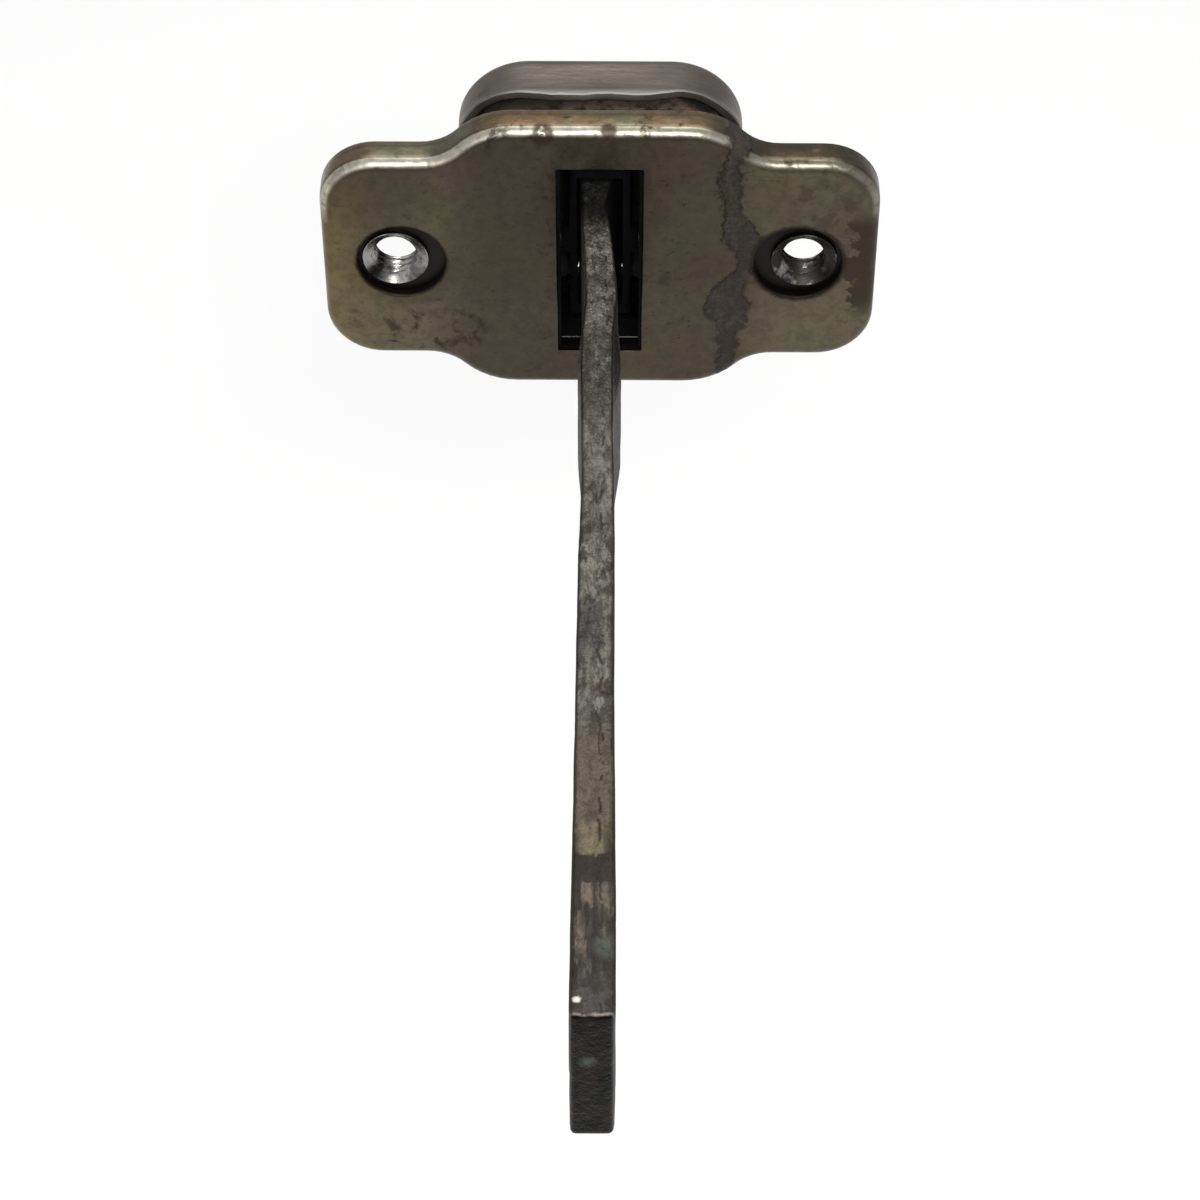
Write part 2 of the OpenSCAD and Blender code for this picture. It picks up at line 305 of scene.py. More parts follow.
def quarter_round(r, steps):
    """(distance drawn in, distance back) pairs from a flat face round an edge of radius r."""
    turns = [math.pi / 2 * i / steps for i in range(steps + 1)]
    return [(r - r * math.sin(t), r - r * math.cos(t)) for t in turns]


# ---- face plate ----

def hole_edge(skin, outline, front, back, roll, burr=0.12, steps=5):
    """The wall of a hole, its front edge rolled in and its back edge broken. Returns both rims."""
    way = math.copysign(1, back - front)
    rings = [(-d_in, front + way * d_back) for d_in, d_back in quarter_round(roll, steps)]
    rings += [(0, back - way * burr), (-burr, back)]
    made = skin.loft([at_depth(inset(outline, i), y) for i, y in rings])
    return (made[0], inset(outline, rings[0][0])), (made[-1], inset(outline, rings[-1][0]))


def make_face_plate():
    skin = Skin()
    outline = plate_outline()
    lip = 0.3
    lip_turns = (0.5, 1.05, math.pi / 2)
    inner_r = BEND_R - SHEET
    section = [(BEND_R + lip, 0.0)] + quarter_round(BEND_R, 10)
    section += [(0.0, BEND_R + 1.0), (0.0, FLANGE_D - lip)]
    section += [(lip - lip * math.cos(t), FLANGE_D - lip + lip * math.sin(t)) for t in lip_turns]
    section += [(SHEET - lip, FLANGE_D), (SHEET, FLANGE_D - lip), (SHEET, BEND_R)]
    section += [(SHEET + d_in, SHEET + d_back) for d_in, d_back in reversed(quarter_round(inner_r, 4)[:-1])]
    rings = skin.loft([at_depth(inset(outline, i), y) for i, y in section])
    front = [(rings[0], inset(outline, section[0][0]))]
    back = [(rings[-1], inset(outline, section[-1][0]))]
    slot_r, slot_roll, hole_roll = 0.35, 0.18, 0.45
    holes = [(box_outline(SLOT_HALF_W, SLOT_HALF_H, slot_r, 1.5, 30), slot_roll)]
    holes += [(circle_outline(side * HOLE_X, HOLE_R), hole_roll) for side in (-1, 1)]
    for hole, roll in holes:
        rim_front, rim_back = hole_edge(skin, hole, 0.0, SHEET, roll)
        front.append(rim_front)
        back.append(rim_back)
    skin.fill(front, lambda p: (p[0], 0.0, p[1]), SHEET_GRID)
    skin.fill(back, lambda p: (p[0], SHEET, p[1]), SHEET_GRID)
    return skin.build("face_plate_pressing")


# ---- housing cup ----

def rim_depth(x, z):
    """Depth of the rim of the cup: down at the lugs on the sides, drawn back along top and bottom."""
    if abs(z) < LUG_SHOULDER:
        return LUG_BACK - 0.9
    side_w, rise_w = 6, 10
    rise = smooth((CUP_HALF_W - side_w - abs(x)) / rise_w)
    ripple = 0.5 * noise.noise(Vector((x * 0.17, z * 0.02, 3.0)))
    ripple += 0.18 * noise.noise(Vector((x * 0.6, 0, 8.0)))
    return RIM_SIDE + (RIM_MIDDLE - RIM_SIDE) * rise + ripple


def lip_flare(z, back):
    """How far the wall of the cup leans out near its rim, a distance back from it."""
    if abs(z) < LUG_SHOULDER:
        return 0.0
    flare, reach = 0.55, 1.1
    return flare * math.exp(-back / reach)


def make_housing_cup():
    skin = Skin()
    outline = box_outline(CUP_HALF_W, CUP_HALF_H, CUP_R, 0.8, 5)
    edge = 0.3
    back_inset, floor_inset = CUP_EDGE_R + 0.4, CUP_EDGE_R + 0.2
    straight_end = CUP_BACK - CUP_EDGE_R
    rims = [rim_depth(*p) for p, _ in outline]

    def wall(amount, back, share=0.0):
        ring = []
        for ((x, z), (nx, nz)), rim in zip(outline, rims):
            depth = back + (straight_end - rim - back) * share
            out = lip_flare(z, depth) - amount
            ring.append((x + nx * out, rim + depth, z + nz * out))
        return ring

    rows, last_row = [0.7, 1.3, 2.2, 3.4], 4.5
    outer = [wall(0, edge)] + [wall(0, b) for b in rows] + [wall(0, last_row, k / 4) for k in range(1, 5)]
    outer += [at_depth(inset(outline, d_in), CUP_BACK - d_back)
              for d_in, d_back in reversed(quarter_round(CUP_EDGE_R, 8)[:-1])]
    outer.append(at_depth(inset(outline, back_inset), CUP_BACK))
    inner_r = CUP_EDGE_R - CUP_T
    inner = [at_depth(inset(outline, floor_inset), CUP_BACK - CUP_T)]
    inner += [at_depth(inset(outline, CUP_T + d_in), CUP_BACK - CUP_T - d_back)
              for d_in, d_back in quarter_round(inner_r, 5)[:-1]]
    inner += [wall(CUP_T, last_row, k / 4) for k in range(3, 0, -1)]
    inner += [wall(CUP_T, b) for b in reversed(rows)]
    inner += [wall(CUP_T, edge), wall(CUP_T - edge, 0), wall(edge, 0)]
    outer_rings = skin.loft(outer)
    inner_rings = skin.loft(inner)
    skin.bridge(inner_rings[-1], outer_rings[0])
    slot_r, slot_roll, slot_burr = 0.8, 0.3, 0.15
    slot = box_outline(SLOT_HALF_W, BACK_SLOT_HALF_H, slot_r, 1.5, 20)
    rim_back, rim_front = hole_edge(skin, slot, CUP_BACK, CUP_BACK - CUP_T, slot_roll, slot_burr, 4)
    skin.fill([(outer_rings[-1], inset(outline, back_inset)), rim_back],
              lambda p: (p[0], CUP_BACK, p[1]), SHEET_GRID)
    skin.fill([(inner_rings[0], inset(outline, floor_inset)), rim_front],
              lambda p: (p[0], CUP_BACK - CUP_T, p[1]), SHEET_GRID)
    for side in (-1, 1):
        make_lug(skin, side)
    return skin.build("housing_cup_pressing")


def make_lug(skin, side):
    """A flat lug beside the cup with a hole for its nut, joined to the side wall by a bend."""
    edge = 0.25
    bend = 1.6
    corner_r = 5.0
    sunk = 0.3  # how far the bend runs into the lug
    overlap = 0.4  # how far the bend runs into the wall
    reach = (LUG_HALF_W - CUP_HALF_W) / 2
    centre = side * (CUP_HALF_W + reach)
    outline = [((centre + p[0], p[1]), n) for p, n in box_outline(reach, LUG_HALF_H, corner_r)]
    rings = skin.loft([at_depth(inset(outline, i), y) for i, y in
                       ((edge, SHEET), (0, SHEET + edge), (0, LUG_BACK - edge), (edge, LUG_BACK))])
    hole = [p for p, _ in circle_outline(side * NUT_X, NUT_COLLAR_R, 64)]
    wall = skin.loft([at_depth(hole, y) for y in (SHEET, LUG_BACK)])
    for ring, mouth, depth in ((rings[0], wall[0], SHEET), (rings[-1], wall[-1], LUG_BACK)):
        skin.fill([(ring, inset(outline, edge)), (mouth, hole)], lambda p: (p[0], depth, p[1]), SHEET_GRID)
    turns = [math.pi / 2 * k / 8 for k in range(9)]
    fillet = [(CUP_HALF_W + bend - bend * math.cos(t), LUG_BACK + bend - bend * math.sin(t)) for t in turns]
    profile = fillet + [(CUP_HALF_W + bend, LUG_BACK - sunk), (CUP_HALF_W - overlap, LUG_BACK - sunk),
                        (CUP_HALF_W - overlap, LUG_BACK + bend)]
    heights = [-LUG_HALF_H + sunk, LUG_HALF_H - sunk]
    ends = skin.loft([[(side * x, y, z) for x, y in profile] for z in heights])
    for ring in ends:
        skin.faces.append(tuple(ring))


# ---- nuts ----

def thread_radius(turn, depth, top, bottom):
    """Radius of the thread's wall at an angle (in turns) and depth, fading out at both ends."""
    height = THREAD_MAJOR_R - THREAD_MINOR_R
    flat, flank = 0.12, 0.72
    lead_in, lead_out, left_at_end = 0.4, 0.5, 0.35
    phase = ((depth / THREAD_PITCH) - turn) % 1.0
    groove = abs(phase - 0.5) * 2
    shape = max(0.0, min(1.0, (groove - flat) / flank))
    lead = min(1.0, max(0.0, (bottom - depth) / lead_out))
    open_up = max(0.0, 1 - (depth - top) / lead_in)
    r = THREAD_MINOR_R + height * shape * (left_at_end + (1 - left_at_end) * lead)
    return max(r, THREAD_MINOR_R + height * open_up)


def make_nut(side, name):
    """A round nut: countersunk mouth, threaded bore, knurled flange and a plain collar."""
    skin = Skin()
    n = 128
    csk = 0.8
    lip = 0.22
    knurls, knurl_depth = 36, 0.1
    thread_rows = 46
    top = NUT_FRONT + csk
    turns = [i / n for i in range(n)]

    def ring(y, radius):
        return [(side * NUT_X + radius(t) * math.cos(2 * math.pi * t), y,
                 radius(t) * math.sin(2 * math.pi * t)) for t in turns]

    def plain(r):
        return lambda t: r

    def knurled(r):
        return lambda t: r - knurl_depth * (0.5 + 0.5 * math.cos(2 * math.pi * knurls * t))

    rings = [ring(top - csk * (1 - k / 5), plain(NUT_MOUTH_R - (NUT_MOUTH_R - THREAD_MAJOR_R) * k / 5))
             for k in range(5)]
    depths = np.linspace(top, NUT_BACK - 0.15, thread_rows)
    rings += [ring(y, lambda t, y=y: thread_radius(t, y, top, NUT_BACK)) for y in depths]
    rings += [ring(NUT_BACK, plain(THREAD_MINOR_R + 0.35))]
    rings += [ring(NUT_BACK, plain(NUT_FLANGE_R - 0.4)), ring(NUT_BACK - 0.1, knurled(NUT_FLANGE_R - 0.12)),
              ring(NUT_BACK - 0.3, knurled(NUT_FLANGE_R)), ring(LUG_BACK + 0.15, knurled(NUT_FLANGE_R)),
              ring(LUG_BACK, plain(NUT_FLANGE_R - 0.2)), ring(LUG_BACK, plain(NUT_COLLAR_R))]
    rings += [ring(NUT_FRONT + lip, plain(NUT_COLLAR_R)),
              ring(NUT_FRONT + lip * 0.3, plain(NUT_COLLAR_R - lip * 0.3))]
    made = skin.loft(rings)
    skin.bridge(made[-1], made[0])
    return skin.build(name, 40)


# ---- strap ----

# Stations: distance out from the face plate, left and right edge of the upper rim,
# then how far the side bosses stand out to the left and right of it.
STATIONS = [
    (-33.8, -2.6, 2.6, 0, 0), (-24, -2.6, 2.6, 0, 0), (-19, -3.4, 3.4, 0, 0),
    (-9.5, -3.4, 3.4, 0, 0), (-6.5, -3.25, 2.5, 0, 0), (-3.5, -3.05, 1.75, 0, 0),
    (0, -3.0, 1.2, 0, 0), (6, -2.7, 1.7, 0, 0), (12, -2.35, 2.2, 0, 0),
    (20, -2.05, 2.8, 0, 0), (26, -2.2, 2.75, 0, 0.25), (31, -2.5, 2.35, 0.3, 0.9),
    (36, -2.65, 2.3, 0.4, 1.15), (40, -2.6, 2.3, 0.25, 0.8), (45, -2.45, 2.3, 0.05, 0.25),
    (53, -2.35, 2.35, 0, 0), (60, -2.25, 2.5, 0, 0), (67, -2.25, 2.6, 0, 0),
    (80, -2.5, 2.68, 0, 0), (100, -2.55, 2.7, 0, 0), (118, -2.62, 2.85, 0, 0),
    (130, -2.68, 2.95, 0, 0), (143, -2.75, 3.08, 0, 0),
    (157.3, -2.78, 3.06, 0, 0), (158.5, -2.62, 2.84, 0, 0),
]

# Points of one section of the strap: along each side, inside each corner, and across its top.
SIDE_POINTS = 41
CORNER_POINTS = 3
ACROSS_POINTS = 8


def station(s, column):
    """A column of the station list at s, with smooth slopes between the stations."""
    where = [row[0] for row in STATIONS]
    values = [row[column] for row in STATIONS]
    last = len(where) - 1
    k = int(np.clip(np.searchsorted(where, s) - 1, 0, last - 1))
    gap = where[k + 1] - where[k]
    t = min(1.0, max(0.0, (s - where[k]) / gap))

    def slope(j):
        if j in (0, last):
            return 0.0
        return (values[j + 1] - values[j - 1]) / (where[j + 1] - where[j - 1])

    first_share = 2 * t ** 3 - 3 * t ** 2 + 1
    level = first_share * values[k] + (1 - first_share) * values[k + 1]
    return level + gap * ((t ** 3 - 2 * t ** 2 + t) * slope(k) + (t ** 3 - t ** 2) * slope(k + 1))


def strap_section(s, half_h, shrink):
    """One closed section of the strap, up its right side, over the top, down the left and back."""
    left, right, boss_left, boss_right = (station(s, c) for c in (1, 2, 3, 4))
    r = 0.55
    half_thickness = 3
    boss_inset, boss_rise = 0.5, 2.4
    sides = [-half_h + r + (2 * half_h - 2 * r) * i / (SIDE_POINTS - 1) for i in range(SIDE_POINTS)]
    corner = [math.pi / 2 * i / (CORNER_POINTS + 1) for i in range(1, CORNER_POINTS + 1)]
    across = [right - r + (left - right + 2 * r) * i / (ACROSS_POINTS - 1) for i in range(ACROSS_POINTS)]

    def boss(z):
        return smooth((half_h - boss_inset - abs(z)) / boss_rise)

    def turned(edge, way, up, turns):
        return [(edge + way * (r * math.cos(t) - r), up * (half_h - r + r * math.sin(t))) for t in turns]

    rows = [(right + boss_right * boss(z), z) for z in sides]
    rows += turned(right, 1, 1, corner) + [(x, half_h) for x in across] + turned(left, -1, 1, corner[::-1])
    rows += [(left - boss_left * boss(z), z) for z in reversed(sides)]
    rows += turned(left, -1, -1, corner) + [(x, -half_h) for x in reversed(across)]
    rows += turned(right, 1, -1, corner[::-1])
    mid = (left + right) / 2
    return [(mid + (x - mid) * (1 - shrink / half_thickness), z * (1 - shrink / half_h)) for x, z in rows]


def dent(x, y, z):
    """How far the worn surface of the strap stands in or out at a point."""
    broad = noise.noise(Vector((x * 0.3 + 7, y * 0.13, z * 0.2)))
    pits = noise.noise(Vector((x * 0.9, y * 0.8, z * 0.8)))
    return 0.08 * broad + 0.07 * min(0.0, pits + 0.15)


def make_strap():
    skin = Skin()
    tail = 3.0
    end_r = 0.5
    first, step = 0.25, 0.9
    steps = list(np.arange(-STRAP_IN, STRAP_OUT, step))[1:]
    steps = [-STRAP_IN, -STRAP_IN + first] + steps + [STRAP_OUT - end_r, STRAP_OUT - end_r * 0.3, STRAP_OUT]
    shrink = {0: 0.3, len(steps) - 2: 0.15, len(steps) - 1: 0.5}  # rounds off the two ends
    rings = []
    for k, s in enumerate(sorted(steps)):
        half_h = STRAP_HALF_H - max(0.0, tail - (s + STRAP_IN))
        mid = (station(s, 1) + station(s, 2)) / 2
        ring = []
        for x, z in strap_section(s, half_h, shrink.get(k, 0.0)):
            worn = dent(x, s, z)
            push = 1 + worn / max(1.0, abs(x - mid))
            ring.append((mid + (x - mid) * push, -s, z * (1 + worn / STRAP_HALF_H)))
        rings.append(ring)
    made = skin.loft(rings)
    for ring in (made[0], made[-1]):
        cap_section(skin, ring)
    piece = skin.build("check_strap_bar", 50)
    cut_eye(piece)
    return piece


def cap_section(skin, ring):
    """Closes an end of the strap with quads from its right side to its left."""
    first_left = SIDE_POINTS + 2 * CORNER_POINTS + ACROSS_POINTS
    right = ring[:SIDE_POINTS]
    left = list(reversed(ring[first_left:first_left + SIDE_POINTS]))
    for k in range(SIDE_POINTS - 1):
        skin.faces.append((right[k], left[k], left[k + 1], right[k + 1]))
    skin.faces.append(tuple(ring[SIDE_POINTS - 1:first_left + 1]))
    skin.faces.append(tuple(ring[first_left + SIDE_POINTS - 1:] + [ring[0]]))


def cut_eye(piece):
    """Cuts the eye through the strap, from one flat face to the other."""
    cutter = bpy.data.objects.new("cutter", bpy.data.meshes.new("cutter"))
    bm = bmesh.new()
    bmesh.ops.create_cone(bm, segments=96, radius1=EYE_R * MM, radius2=EYE_R * MM, depth=20 * MM,
                          cap_ends=True)
    bmesh.ops.rotate(bm, verts=bm.verts, cent=(0, 0, 0), matrix=Matrix.Rotation(math.pi / 2, 3, "Y"))
    bmesh.ops.translate(bm, verts=bm.verts, vec=(0, -EYE_S * MM, 0))
    bm.to_mesh(cutter.data)
    bm.free()
    bpy.context.scene.collection.objects.link(cutter)
    cut = piece.modifiers.new("eye", "BOOLEAN")
    cut.object = cutter
    cut.solver = "EXACT"
    apply_modifiers(piece, 50)
    bpy.data.objects.remove(cutter)


# ---- rubber springs ----

def make_rubber_spring(node, name):
    """A moulded block with rounded edges and three holes right through it."""
    low, high = node_box(node)
    skin = Skin()
    edge, corner_r, roll, chamfer, grid = 0.7, 1.2, 0.35, 0.1, 1.2
    middle = (low.x + high.x) / 2
    block = box_outline((high.x - low.x) / 2, high.z, corner_r, 1.0)
    outline = [((middle + p[0], p[1]), n) for p, n in block]
    front = [(i, low.y + back) for i, back in quarter_round(edge, 4)]
    rings = front + [(0, (low.y + high.y) / 2)] + [(i, low.y + high.y - y) for i, y in reversed(front)]
    made = skin.loft([at_depth(inset(outline, i), y) for i, y in rings])
    faces = [[(made[0], inset(outline, edge))], [(made[-1], inset(outline, edge))]]
    mouth = [(-roll, 0), (-chamfer, chamfer), (0, roll)]
    for z in (-SPRING_HOLE_STEP, 0, SPRING_HOLE_STEP):
        hole = [((middle + p[0], z + p[1]), n) for p, n in circle_outline(0, SPRING_HOLE_R, 40)]
        wall = skin.loft([at_depth(inset(hole, i), low.y + back) for i, back in mouth]
                         + [at_depth(inset(hole, i), high.y - back) for i, back in reversed(mouth)])
        faces[0].append((wall[0], inset(hole, -roll)))
        faces[1].append((wall[-1], inset(hole, -roll)))
    skin.fill(faces[0], lambda p: (p[0], low.y, p[1]), grid)
    skin.fill(faces[1], lambda p: (p[0], high.y, p[1]), grid)
    return skin.build(name)


# ---- camera, light and floor ----

def make_camera():
    """A long lens that looks down on the face plate, its axis passing below the slot."""
    distance = 543.0
    pitch = math.radians(46)
    yaw = math.radians(0.4)
    lens, sensor = 102.6, 36.0
    slot_share = 0.2833  # of the picture's width, from its centre up to the slot
    slot_above_axis = slot_share * sensor / lens
    data = bpy.data.cameras.new("camera")
    data.lens = lens
    data.sensor_width = sensor
    data.clip_start = 0.01
    data.clip_end = 20
    camera = bpy.data.objects.new("camera", data)
    bpy.context.scene.collection.objects.link(camera)
    ahead = Vector((-math.sin(yaw) * math.cos(pitch), math.cos(yaw) * math.cos(pitch), -math.sin(pitch)))
    up = Vector((-math.sin(yaw) * math.sin(pitch), math.cos(yaw) * math.sin(pitch), math.cos(pitch)))
    right = ahead.cross(up)
    target = Vector((0.05, 0, 0.55))
    place = target - distance * (ahead + slot_above_axis * up)
    camera.matrix_world = Matrix.Translation(place * MM) @ Matrix((right, up, -ahead)).transposed().to_4x4()
    bpy.context.scene.camera = camera


def area_light(name, place, aim, size, power, colour):
    data = bpy.data.lights.new(name, "AREA")
    data.shape = "RECTANGLE"
    data.size, data.size_y = size
    data.energy = power
    data.color = colour
    light = bpy.data.objects.new(name, data)
    bpy.context.scene.collection.objects.link(light)
    light.location = place
    light.rotation_euler = (Vector(aim) - Vector(place)).to_track_quat("-Z", "Y").to_euler()


def make_floor():
    """A pale, matt floor far below the part, wide enough to fill the picture."""
    depth, radii = -300.0, (1.0, 400.0, 3000.0)
    skin = Skin()
    turns = np.linspace(0, 2 * math.pi, 65)[:-1]
    made = skin.loft([[(r * math.cos(t), r * math.sin(t), depth) for t in turns] for r in radii])
    skin.faces.append(tuple(made[0]))
    floor = skin.build("floor")
    paper = bpy.data.materials.new("pale_floor")
    paper.use_nodes = True
    shader = paper.node_tree.nodes["Principled BSDF"]
    shader.inputs["Base Color"].default_value = (0.93, 0.93, 0.93, 1)
    shader.inputs["Roughness"].default_value = 0.9
    floor.data.materials.append(paper)


def make_stage():
    """A pale surround, with a large light above, a warm key in front and a weak one at the left."""
    scene = bpy.context.scene
    scene.view_settings.view_transform = "Standard"
    world = bpy.data.worlds.new("studio")
    scene.world = world
    world.use_nodes = True
    sky = world.node_tree.nodes["Background"]
    sky.inputs["Color"].default_value = (0.96, 0.98, 1.0, 1)
    sky.inputs["Strength"].default_value = 0.51
    area_light("ceiling", (0.05, 0.55, 1.2), (0, -0.03, 0), (1.1, 0.8), 10.5, (1.0, 0.985, 0.96))
    area_light("key", (0.08, -0.98, 0.92), (0, 0, 0), (0.5, 0.3), 10, (1.0, 0.985, 0.95))
    area_light("front", (-0.6, -1.2, 0.5), (0, 0, -0.1), (0.7, 0.7), 1.5, (1.0, 0.99, 0.97))
    make_floor()


# ---- materials ----

class Value:
    """A number from a node, so that sums on it read as plain arithmetic."""

    def __init__(self, graph, socket):
        self.graph, self.socket = graph, socket

    def math(self, operation, *others):
        made = self.graph.node("ShaderNodeMath")
        made.operation = operation
        for k, value in enumerate((self,) + others):
            self.graph.feed(made.inputs[k], value)
        return Value(self.graph, made.outputs[0])

    def __add__(self, other):
        return self.math("ADD", other)

    def __sub__(self, other):
        return self.math("SUBTRACT", other)

    def __mul__(self, other):
        return self.math("MULTIPLY", other)

    __radd__ = __add__
    __rmul__ = __mul__

    def __rsub__(self, other):
        return (self * -1) + other

    def __abs__(self):
        return self.math("ABSOLUTE")

    def step(self, low, high):
        """0 below low and 1 above high, with a smooth rise between; high may be the lower one."""
        made = self.graph.node("ShaderNodeMapRange")
        made.interpolation_type = "SMOOTHSTEP"
        flip = low > high
        self.graph.feed(made.inputs["Value"], self)
        made.inputs["From Min"].default_value = min(low, high)
        made.inputs["From Max"].default_value = max(low, high)
        made.inputs["To Min"].default_value = 1.0 if flip else 0.0
        made.inputs["To Max"].default_value = 0.0 if flip else 1.0
        return Value(self.graph, made.outputs["Result"])

    def near(self, centre, width):
        """1 at centre, falling smoothly to 0 a width away."""
        return abs(self - centre).step(width, 0)

    def inside(self, low, high, soft):
        """1 between low and high, falling smoothly to 0 just outside them."""
        return self.step(low - soft, low) * self.step(high + soft, high)

    def either(self, other):
        return self.math("MAXIMUM", other)


class Graph:
    """A material with its node tree. x, y and z are the place in the frame, in millimetres."""

    def __init__(self, name, metallic, roughness, **sockets):
        self.material = bpy.data.materials.new(name)
        self.material.use_nodes = True
        self.tree = self.material.node_tree
        self.shader = self.tree.nodes["Principled BSDF"]
        self.shader.inputs["Metallic"].default_value = metallic
        self.shader.inputs["Roughness"].default_value = roughness
        for key, value in sockets.items():
            self.shader.inputs[key.replace("_", " ")].default_value = value
        place = self.node("ShaderNodeTexCoord")
        scale = self.node("ShaderNodeVectorMath")
        scale.operation = "SCALE"
        scale.inputs["Scale"].default_value = 1 / MM
        self.tree.links.new(scale.inputs[0], place.outputs["Object"])
        self.place = scale.outputs[0]
        parts = self.node("ShaderNodeSeparateXYZ")
        self.tree.links.new(parts.inputs[0], self.place)
        self.x, self.y, self.z = (Value(self, s) for s in parts.outputs)

    def node(self, kind):
        return self.tree.nodes.new(kind)

    def feed(self, socket, value):
        """Sets a socket to a number or a colour, or links it to a Value or another socket."""
        if isinstance(value, Value):
            self.tree.links.new(socket, value.socket)
        elif isinstance(value, (int, float)):
            socket.default_value = value
        elif isinstance(value, tuple):
            socket.default_value = value if len(value) == 4 else (*value, 1)
        else:
            self.tree.links.new(socket, value)

    def stretched(self, stretch, offset=(0, 0, 0), turn=(0, 0, 0)):
        """The place in the frame, scaled, shifted and turned (in degrees) for a texture."""
        made = self.node("ShaderNodeMapping")
        made.inputs["Scale"].default_value = stretch
        made.inputs["Location"].default_value = offset
        made.inputs["Rotation"].default_value = [math.radians(t) for t in turn]
        self.tree.links.new(made.inputs["Vector"], self.place)
        return made.outputs[0]

    def noise(self, size, detail=4, rough=0.55, stretch=(1, 1, 1), offset=(0, 0, 0), turn=(0, 0, 0),
              warp=0.0):
        """Noise from 0 to 1 whose blobs are about size millimetres across."""
        made = self.node("ShaderNodeTexNoise")
        self.tree.links.new(made.inputs["Vector"], self.stretched(stretch, offset, turn))
        made.inputs["Scale"].default_value = 1 / size
        made.inputs["Detail"].default_value = detail
        made.inputs["Roughness"].default_value = rough
        made.inputs["Distortion"].default_value = warp
        return Value(self, made.outputs[0])

    def cells(self, size, stretch):
        """Distance to the nearest of a scatter of points about size millimetres apart."""
        made = self.node("ShaderNodeTexVoronoi")
        self.tree.links.new(made.inputs["Vector"], self.stretched(stretch))
        made.inputs["Scale"].default_value = 1 / size
        return Value(self, made.outputs["Distance"])

    def mix(self, share, a, b):
        """Colour a where share is 0 and colour b where it is 1."""
        made = self.node("ShaderNodeMix")
        made.data_type = "RGBA"
        colour_a, colour_b, colour_result = 6, 7, 2
        self.feed(made.inputs["Factor"], share)
        self.feed(made.inputs[colour_a], a)
        self.feed(made.inputs[colour_b], b)
        return made.outputs[colour_result]

    def facing(self, axis):
        """How squarely the surface faces along an axis of the frame, either way."""
        place = self.node("ShaderNodeTexCoord")
        parts = self.node("ShaderNodeSeparateXYZ")
        self.tree.links.new(parts.inputs[0], place.outputs["Normal"])
        return abs(Value(self, parts.outputs["XYZ".index(axis)]))

    def away(self, x, y, z):
        """Distance from a point, in millimetres."""
        made = self.node("ShaderNodeVectorMath")
        made.operation = "DISTANCE"
        self.tree.links.new(made.inputs[0], self.place)
        made.inputs[1].default_value = (x, y, z)
        return Value(self, made.outputs["Value"])

    def bump(self, height):
        """Raises the surface by a height in millimetres."""
        made = self.node("ShaderNodeBump")
        made.inputs["Distance"].default_value = MM
        self.feed(made.inputs["Height"], height)
        self.tree.links.new(self.shader.inputs["Normal"], made.outputs[0])

    def finish(self, colour, roughness=None, metallic=None):
        self.feed(self.shader.inputs["Base Color"], colour)
        if roughness is not None:
            self.feed(self.shader.inputs["Roughness"], roughness)
        if metallic is not None:
            self.feed(self.shader.inputs["Metallic"], metallic)
        return self.material


def smear(g):
    """The crust across the right of the face plate: its solid part, and the dark edge round it."""
    lane = 20.7 + 2.6 * g.z.near(2, 8) + 2.4 * g.z.step(20, 25)
    width = 1.5 + 1.9 * g.z.near(-9, 6) + 1.3 * g.z.near(5, 6) + 1.6 * g.z.step(20, 24)
    wander = (g.noise(5, 3, offset=(1, 7, 4)) - 0.5) * 4
    wander += (g.noise(1.5, 4, 0.65, offset=(3, 1, 2)) - 0.5) * 3.4
    rim = abs(g.x - lane + wander) - width
    patchy = g.noise(2, 4, offset=(6, 2, 2)).step(0.36, 0.52)
    return rim.step(0.25, -0.25), rim.near(0.1, 0.8) * patchy


def plate_tone(g):
    """Yellow zinc with its slow drift of colour, darker in the middle and golden towards the left."""
    olive, rose, green = (0.094, 0.082, 0.049), (0.088, 0.066, 0.05), (0.084, 0.088, 0.052)
    amber = (0.17, 0.118, 0.05)
    colour = g.mix(g.noise(20, 3, offset=(2, 0, 5)).step(0.38, 0.62), olive, rose)
    colour = g.mix(g.noise(13, 3, offset=(9, 4, 1)).step(0.48, 0.68) * 0.5, colour, green)
    gold = g.x.step(-34, -43) * 0.55
    colour = g.mix(gold.either(g.x.near(-39, 7) * g.z.near(-3, 10) * 0.7), colour, amber)
    colour = g.mix(g.z.step(4, -14) * abs(g.x).step(20, 30) * 0.35, colour, (0.15, 0.132, 0.088))
    middle = abs(g.x).step(30, 17) * (0.34 + 0.12 * g.x.step(4, -6) + 0.12 * g.z.step(-12, -2))
    upper = g.z.step(2, 14) * g.x.step(-20, -30) * 0.4
    return g.mix(middle.either(upper), colour, (0.026, 0.021, 0.016))


